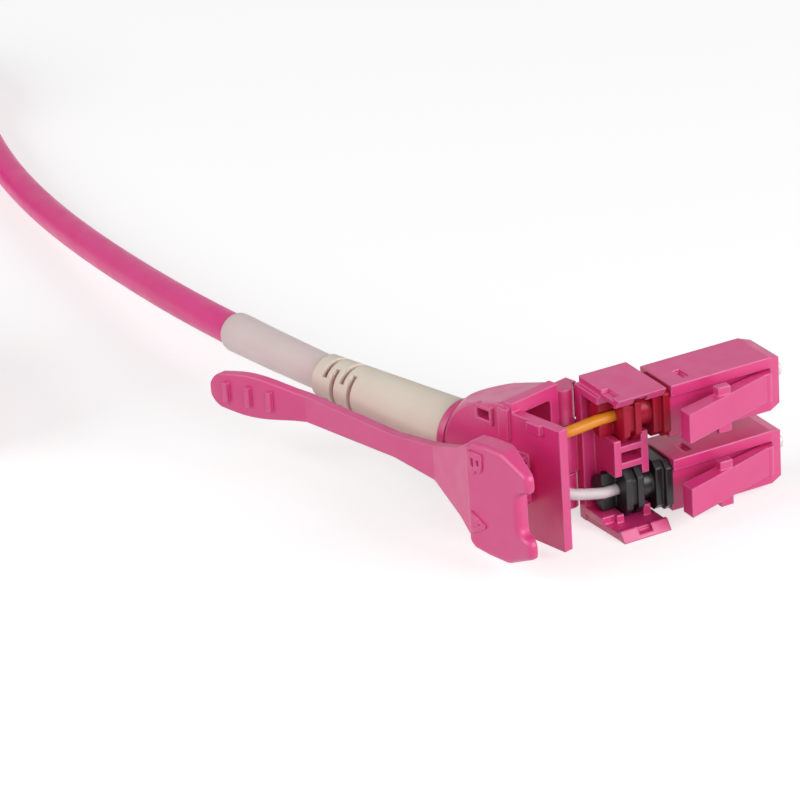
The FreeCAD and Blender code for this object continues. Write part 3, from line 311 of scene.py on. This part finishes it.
def wound_spring(name, node, along):
    """Wound wire in a node's box: the wire's middle goes round the box's axis at an even rate while it moves
    on along it, and the wire is a small circle about that middle, drawn in to a point at both ends."""
    low, high = (np.array(corner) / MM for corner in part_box(node))
    one, two = (along + 1) % 3, (along + 2) % 3
    turn = np.linspace(0, SPRING_TURNS, SPRING_STEPS * SPRING_TURNS + 1)
    out = np.zeros((len(turn), 3))
    out[:, one], out[:, two] = np.cos(2 * math.pi * turn), np.sin(2 * math.pi * turn)
    middle = (low + high) / 2 + ((high - low)[one] / 2 - SPRING_WIRE) * out
    middle[:, along] = low[along] + SPRING_WIRE + (high - low - 2 * SPRING_WIRE)[along] * turn / SPRING_TURNS
    thick = np.full(len(turn), SPRING_WIRE)
    thick[[0, -1]] = SPRING_POINT
    onward = np.broadcast_to(np.eye(3)[along], out.shape)
    points = swept_rings(middle, thick, out, onward, SPRING_SIDES)
    return grid_mesh(name, points * MM, band_faces(len(turn), SPRING_SIDES, False))


def soft_insides():
    """Fibres bent between the housing and the holder, and wound springs in place of the holder's springs."""
    made = {}
    for node, points in FIBRES.items():
        pre = "far_" if node.startswith("far_") else ""
        shift = FAR_SHIFT if pre else np.zeros(3)
        item = tube_mesh("bent_" + node, np.array(points) + shift, FIBRE_DIA / 2)
        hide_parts(node)
        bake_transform(item)
        made[node] = item
    for pre in ("", "far_"):
        for side in ("upper", "lower"):
            node, along = f"{pre}{side}_spring", 0 if pre else 1
            item = wound_spring("wound_" + node, node, along)
            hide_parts(node)
            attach(item, pre + "holder")
            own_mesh(item)
            made[node] = item
    return made


insides = soft_insides()

# Paddle skins, in the rear housing's own frame: the ends and rows along the tab, the tip's circle, the half
# heights that the curve is fitted to, the tip's thin edge, the thinner end at the strap, the corners of each
# section, and the lean away from the boot

PADDLE_TIP, PADDLE_EVEN, PADDLE_ROOT = -29.55, -29.35, -20.6
PADDLE_TIP_ROWS, PADDLE_ROWS, PADDLE_SIDES = 7, 60, 40
TIP_MIDDLE, TIP_RADIUS, TIP_END = -27.9, 1.65, -28.6
TIP_LEAST, TIP_MOST = 0.02, 1.5
HALF_HEIGHT_PLACES = np.array([-28.7, -27.6, -26.6, -25.6, -24.4, -23.0, -21.6, -20.6])
HALF_HEIGHTS = [1.47, 1.67, 1.79, 1.83, 1.74, 1.53, 1.29, 1.1]
CURVE_MIDDLE, CURVE_DEGREE = -25, 5
EDGE_LENGTH, EDGE_THICK, EDGE_SWELL = 0.15, 0.26, 0.17
STRAP_START, STRAP_BLEND, STRAP_THINNER = -21.6, 1.0, 0.06
SKIN_CORNER, SKIN_CORNER_SHARE = 0.15, 0.5
LEAN_START, LEAN_PLACE, LEAN = -20.5, -8.25, 0.26136


def paddle_skin(name, far):
    """Rounded skin on a tab's paddle. Its half height is a circle at the tip and then a smooth curve fitted
    to chosen heights; its thickness is drawn in over the last stretch of the tip and at the strap; each
    section is a rectangle with rounded corners; the middle leans away from the boot evenly."""
    along = np.concatenate([PADDLE_TIP + EDGE_LENGTH * np.linspace(0, 1, PADDLE_TIP_ROWS) ** 2,
                            np.linspace(PADDLE_EVEN, PADDLE_ROOT, PADDLE_ROWS)])
    round_tip = np.sqrt(np.clip(TIP_RADIUS ** 2 - (along - TIP_MIDDLE) ** 2, TIP_LEAST ** 2, None))
    fit = np.polyfit(HALF_HEIGHT_PLACES - CURVE_MIDDLE, HALF_HEIGHTS, CURVE_DEGREE)
    curve = np.polyval(fit, along - CURVE_MIDDLE)
    tall = np.where(along < TIP_END, np.minimum(round_tip, TIP_MOST), curve)
    edge = np.clip((along - PADDLE_TIP) / EDGE_LENGTH, 0, 1)
    thick = EDGE_THICK + EDGE_SWELL * np.sqrt(1 - (1 - edge) ** 2)
    thick -= STRAP_THINNER * np.clip((along - STRAP_START) / STRAP_BLEND, 0, 1)
    angle = even_angles(PADDLE_SIDES)
    corner = np.minimum(SKIN_CORNER, tall * SKIN_CORNER_SHARE)[:, None]
    across = np.sign(np.cos(angle)) * (thick[:, None] - corner) + corner * np.cos(angle)
    up = np.sign(np.sin(angle)) * (tall[:, None] - corner) + corner * np.sin(angle)
    middle = LEAN_PLACE + LEAN * (along - LEAN_START)
    x = np.broadcast_to(along[:, None], across.shape)
    points = np.stack([x, middle[:, None] + across, MID_HEIGHT + up], -1).reshape(-1, 3)
    faces = band_faces(len(along), PADDLE_SIDES, False)[:, ::-1]
    item = grid_mesh(name, rear_place(points, far) * MM, faces)
    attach(item, "far_tab" if far else "tab")
    return item


near_paddle, far_paddle = paddle_skin("near_paddle", False), paddle_skin("far_paddle", True)

# Raised polarity letters on each tab head: the letter, its middle and its width and height

LETTERS = {"b": ("B", (1.6, 8.95), (1.85, 1.45)), "a": ("A", (1.6, 3.85), (1.85, 1.5))}
LETTER_DEPTH, LETTER_EXTRUDE, LETTER_BEVEL = 0.3, 0.06, 0.03
HEAD_FACE_Y = -10.65


def raised_letter(name, letter, middle, size, far):
    """A letter raised on the head's outer face, turned a quarter so that its top points to the plugs.
    Its own right goes down, its own up goes along the boot and its thickness goes outwards."""
    data = bpy.data.curves.new(name, "FONT")
    data.body = letter
    data.extrude = LETTER_EXTRUDE
    data.bevel_depth = LETTER_BEVEL
    data.bevel_resolution = 2
    text = add_object(name, data)
    mesh = shown_mesh(text)
    bpy.data.objects.remove(text)
    flat = mesh_points(mesh)
    low, high = flat.min(0), flat.max(0)
    unit = (flat - (low + high) / 2) / (high - low)
    placed = np.stack([middle[0] + unit[:, 1] * size[1], HEAD_FACE_Y - unit[:, 2] * LETTER_DEPTH,
                       middle[1] - unit[:, 0] * size[0]], -1)
    mesh.vertices.foreach_set("co", (rear_place(placed, far) * MM).ravel())
    mesh.update()
    item = add_object(name, mesh)
    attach(item, "far_tab" if far else "tab")
    return item


letters = [raised_letter(f"{end}_letter_{key}", *LETTERS[key], far)
           for end, far in (("near", False), ("far", True)) for key in LETTERS]


# Materials: helpers, with the places of the colour mix's sockets

MIX_SHARE, MIX_FIRST, MIX_SECOND, MIX_RESULT = 0, 6, 7, 2


def linear(red, green, blue):
    """A colour as it looks on screen, in the linear values that shaders take, by the screens' usual curve."""
    values = np.array([red, green, blue]) / 255
    straight = np.where(values <= 0.04045, values / 12.92, ((values + 0.055) / 1.055) ** 2.4)
    return (*straight.tolist(), 1.0)


def new_material(name):
    """A new material with its nodes, its links, its shader and the object coordinates for its patterns."""
    material = bpy.data.materials.new(name)
    material.use_nodes = True
    nodes, links = material.node_tree.nodes, material.node_tree.links
    shader = nodes["Principled BSDF"]
    place = nodes.new("ShaderNodeTexCoord")
    return material, nodes, links, shader, place.outputs["Object"]


def noise(nodes, links, place, scale, detail=3.0):
    """A noise field on object coordinates; the scale is in waves to the metre."""
    field = nodes.new("ShaderNodeTexNoise")
    field.inputs["Scale"].default_value = scale
    field.inputs["Detail"].default_value = detail
    links.new(place, field.inputs["Vector"])
    return field.outputs["Fac"]


def spread(nodes, links, source, low, high, limits=(0.3, 0.7)):
    """A value spread from one range to another."""
    field = nodes.new("ShaderNodeMapRange")
    field.inputs["From Min"].default_value = limits[0]
    field.inputs["From Max"].default_value = limits[1]
    field.inputs["To Min"].default_value = low
    field.inputs["To Max"].default_value = high
    links.new(source, field.inputs["Value"])
    return field.outputs["Result"]


def blend_colours(nodes, links, share, first, second):
    """A colour between two, by a share; either may be a socket."""
    mix = nodes.new("ShaderNodeMix")
    mix.data_type = "RGBA"
    for value, socket in ((first, mix.inputs[MIX_FIRST]), (second, mix.inputs[MIX_SECOND])):
        if isinstance(value, tuple):
            socket.default_value = value
        else:
            links.new(value, socket)
    links.new(share, mix.inputs[MIX_SHARE])
    return mix.outputs[MIX_RESULT]


def bumped(nodes, links, height, strength, distance):
    """A bump of a height field, by strength and by distance in metres."""
    bump = nodes.new("ShaderNodeBump")
    bump.inputs["Strength"].default_value = strength
    bump.inputs["Distance"].default_value = distance
    links.new(height, bump.inputs["Height"])
    return bump


# Materials: each plastic's two tones, paler edge colour for a painted highlight, roughness and other values;
# each metal's two tones, roughness and waves to the metre

PLASTICS = {
    "pink_plastic": ((222, 52, 130), (216, 47, 124), (240, 136, 182), 0.42, {"gloss": 0.9}),
    "pink_jacket": ((236, 48, 142), (228, 44, 133), (238, 70, 152), 0.46,
                    {"grain": 3200.0, "grain_height": 0.03, "gloss": 0.6}),
    "white_rubber": ((241, 230, 214), (236, 222, 205), (246, 238, 226), 0.62,
                     {"grain": 4200.0, "grain_height": 0.03}),
    "clear_sleeve": ((236, 221, 218), (230, 208, 207), (240, 228, 224), 0.5,
                     {"grain": 1500.0, "grain_height": 0.03}),
    "red_plastic": ((172, 16, 50), (160, 12, 43), (190, 40, 72), 0.4, {"gloss": 0.3}),
    "black_plastic": ((24, 24, 26), (18, 18, 20), (52, 52, 56), 0.38, {}),
    "yellow_buffer": ((234, 150, 32), (228, 140, 25), (240, 168, 56), 0.4, {}),
    "white_buffer": ((226, 218, 220), (216, 208, 212), (236, 230, 232), 0.42, {}),
    "ceramic": ((244, 242, 236), (238, 236, 230), (250, 248, 244), 0.18,
                {"grain": 6000.0, "grain_height": 0.004}),
}
METALS = {
    "flange_metal": ((206, 196, 172), (188, 178, 152), 0.32, 900.0),
    "spring_steel": ((196, 196, 200), (170, 170, 176), 0.3, 1200.0),
    "crimp_metal": ((212, 212, 216), (190, 190, 196), 0.35, 900.0),
}
CLOUD_WAVES, ROUGH_WAVES, ROUGH_CHANGE = 160.0, 700.0, 0.05
# The rounded edge's radius, then the share and the limits of the painted highlight along edges
ROUND_EDGE, EDGE_HIGHLIGHT, EDGE_HIGHLIGHT_LIMITS = 0.0002, 0.55, (0.9, 0.995)
GRAIN_STRENGTH, GRAIN_DETAIL = 0.12, 2.0
METAL_DETAIL, METAL_ROUGH_CHANGE = 4.0, 0.08
TIE_TONES = ((26, 26, 28), (58, 58, 62))
TIE_WEAVE = {"Scale": 900.0, "Distortion": 6.0, "Detail": 3.0, "Detail Scale": 3.0}
TIE_BUMP, TIE_BUMP_DISTANCE, TIE_ROUGHNESS = 0.6, 0.0002, 0.9


def moulded(name, colour, second, edge, roughness, grain=5200.0, grain_height=0.02, gloss=0.5):
    """Moulded plastic: two close tones in slow clouds, a paler line along edges that is a painted highlight,
    fine spark-eroded grain in the bump, a roughness that varies a little, and edges whose shading is rounded."""
    material, nodes, links, shader, place = new_material(name)
    clouds = spread(nodes, links, noise(nodes, links, place, CLOUD_WAVES), 0.0, 1.0)
    body = blend_colours(nodes, links, clouds, linear(*colour), linear(*second))
    rounded = nodes.new("ShaderNodeBevel")
    rounded.samples = 6
    rounded.inputs["Radius"].default_value = ROUND_EDGE
    surface = nodes.new("ShaderNodeNewGeometry")
    dot = nodes.new("ShaderNodeVectorMath")
    dot.operation = "DOT_PRODUCT"
    links.new(rounded.outputs["Normal"], dot.inputs[0])
    links.new(surface.outputs["Normal"], dot.inputs[1])
    # Painted highlight: the paler edge colour is mixed in where the rounded shading turns away from the true
    # normal
    painted_highlight = spread(nodes, links, dot.outputs["Value"], EDGE_HIGHLIGHT, 0.0, EDGE_HIGHLIGHT_LIMITS)
    links.new(blend_colours(nodes, links, painted_highlight, body, linear(*edge)), shader.inputs["Base Color"])
    rough = spread(nodes, links, noise(nodes, links, place, ROUGH_WAVES), roughness - ROUGH_CHANGE,
                   roughness + ROUGH_CHANGE)
    links.new(rough, shader.inputs["Roughness"])
    grains = noise(nodes, links, place, grain, GRAIN_DETAIL)
    bump = bumped(nodes, links, grains, GRAIN_STRENGTH, grain_height * MM)
    links.new(rounded.outputs["Normal"], bump.inputs["Normal"])
    links.new(bump.outputs["Normal"], shader.inputs["Normal"])
    shader.inputs["Specular IOR Level"].default_value = gloss
    return material


def metal(name, colour, second, roughness, waves):
    """Plain metal: two tones in a fine cloudy pattern, with a low roughness that varies along with them."""
    material, nodes, links, shader, place = new_material(name)
    field = noise(nodes, links, place, waves, METAL_DETAIL)
    share = spread(nodes, links, field, 0.0, 1.0)
    tone = blend_colours(nodes, links, share, linear(*colour), linear(*second))
    links.new(tone, shader.inputs["Base Color"])
    rough = spread(nodes, links, field, roughness - METAL_ROUGH_CHANGE, roughness + METAL_ROUGH_CHANGE)
    links.new(rough, shader.inputs["Roughness"])
    shader.inputs["Metallic"].default_value = 1.0
    return material


def tie_fabric(name):
    """Hook-and-loop strap: fine waves, much disturbed, for the woven loops, matt and dark."""
    material, nodes, links, shader, place = new_material(name)
    weave = nodes.new("ShaderNodeTexWave")
    for key, value in TIE_WEAVE.items():
        weave.inputs[key].default_value = value
    links.new(place, weave.inputs["Vector"])
    tone = blend_colours(nodes, links, weave.outputs["Fac"], *(linear(*colour) for colour in TIE_TONES))
    links.new(tone, shader.inputs["Base Color"])
    bump = bumped(nodes, links, weave.outputs["Fac"], TIE_BUMP, TIE_BUMP_DISTANCE)
    links.new(bump.outputs["Normal"], shader.inputs["Normal"])
    shader.inputs["Roughness"].default_value = TIE_ROUGHNESS
    return material


LOOKS = {slot: moulded(slot + "_look", *values, **other) for slot, (*values, other) in PLASTICS.items()}
LOOKS.update({slot: metal(slot + "_look", *values) for slot, values in METALS.items()})
LOOKS["tie_fabric"] = tie_fabric("tie_fabric_look")


def dress(item, look):
    """Give a piece one material on all its faces."""
    item.data.materials.clear()
    item.data.materials.append(look)


for part in frame["record"]["subparts"]:
    item = frame["nodes"][part["node"]]
    for slot in item.material_slots:
        slot.material = LOOKS[part["material_slot"]]
dress(cord, LOOKS["pink_jacket"])
for item in (near_sleeve, far_sleeve):
    dress(item, LOOKS["clear_sleeve"])
for item in (*letters, near_paddle, far_paddle):
    dress(item, LOOKS["pink_plastic"])
for part in frame["record"]["subparts"]:
    if part["node"] in insides:
        dress(insides[part["node"]], LOOKS[part["material_slot"]])

# Floor, light and surroundings; each lamp's place, size and power

FLOOR_HALF, FLOOR_GREY = 3.0, 0.6
FLOOR_LIFT, FLOOR_GLOSS_LIFT = 0.62, 0.45
WHITE = (1, 1, 1, 1)
WORLD_LIGHT = 0.10
LAMP_AIM = (-0.01, -0.005, 0.005)
LAMPS = {
    "side_lamp": ((0.60, -0.02, 0.28), 0.35, 1.2),
    "front_lamp": ((0.36, -0.46, 0.30), 0.35, 0.35),
    "left_lamp": ((-0.12, -0.58, 0.34), 0.40, 2.1),
    "corner_lamp": ((0.50, 0.30, 0.30), 0.35, 2.4),
}


def greater(nodes, links, first, second):
    """The greater of two values."""
    field = nodes.new("ShaderNodeMath")
    field.operation = "MAXIMUM"
    links.new(first, field.inputs[0])
    links.new(second, field.inputs[1])
    return field.outputs[0]


def shown_ray(nodes, links):
    """One for rays that show the surroundings: from the camera, off gloss or through glass."""
    path = nodes.new("ShaderNodeLightPath")
    seen = greater(nodes, links, path.outputs["Is Camera Ray"], path.outputs["Is Glossy Ray"])
    return greater(nodes, links, seen, path.outputs["Is Transmission Ray"])


def pale_floor():
    """Wide pale floor: a plain diffuse sheet that keeps shadows, lifted to white for rays that show it, and
    lifted more for rays off gloss."""
    corners = np.array([(-1, -1, 0), (1, -1, 0), (1, 1, 0), (-1, 1, 0)], float) * FLOOR_HALF
    item = grid_mesh("floor", corners, np.array([[0, 1, 2, 3]]))
    material = bpy.data.materials.new("floor_look")
    material.use_nodes = True
    nodes, links = material.node_tree.nodes, material.node_tree.links
    nodes.remove(nodes["Principled BSDF"])
    diffuse = nodes.new("ShaderNodeBsdfDiffuse")
    diffuse.inputs["Color"].default_value = (FLOOR_GREY, FLOOR_GREY, FLOOR_GREY, 1)
    lift = nodes.new("ShaderNodeEmission")
    lift.inputs["Color"].default_value = WHITE
    path = nodes.new("ShaderNodeLightPath")
    strength = nodes.new("ShaderNodeMath")
    strength.operation = "MULTIPLY_ADD"
    links.new(shown_ray(nodes, links), strength.inputs[0])
    strength.inputs[1].default_value = FLOOR_LIFT
    gloss = spread(nodes, links, path.outputs["Is Glossy Ray"], 0.0, FLOOR_GLOSS_LIFT, (0.0, 1.0))
    links.new(gloss, strength.inputs[2])
    links.new(strength.outputs[0], lift.inputs["Strength"])
    total = nodes.new("ShaderNodeAddShader")
    links.new(diffuse.outputs[0], total.inputs[0])
    links.new(lift.outputs[0], total.inputs[1])
    links.new(total.outputs[0], nodes["Material Output"].inputs["Surface"])
    dress(item, material)


def soft_lamp(name, place, size, power):
    """Square soft lamp at a place, turned to face the connector."""
    data = bpy.data.lights.new(name, "AREA")
    data.size = size
    data.energy = power
    lamp = add_object(name, data)
    lamp.location = place
    lamp.rotation_mode = "QUATERNION"
    lamp.rotation_quaternion = (Vector(LAMP_AIM) - Vector(place)).to_track_quat("-Z", "Y")


def surroundings():
    """White surroundings for rays that show them, and a plain soft light for the rest."""
    world = bpy.data.worlds.new("studio")
    bpy.context.scene.world = world
    world.use_nodes = True
    nodes, links = world.node_tree.nodes, world.node_tree.links
    background = nodes["Background"]
    background.inputs["Color"].default_value = WHITE
    light = spread(nodes, links, shown_ray(nodes, links), WORLD_LIGHT, 1.0, (0.0, 1.0))
    links.new(light, background.inputs["Strength"])


pale_floor()
for lamp_name, values in LAMPS.items():
    soft_lamp(lamp_name, *values)
surroundings()
bpy.context.scene.view_settings.view_transform = "Standard"
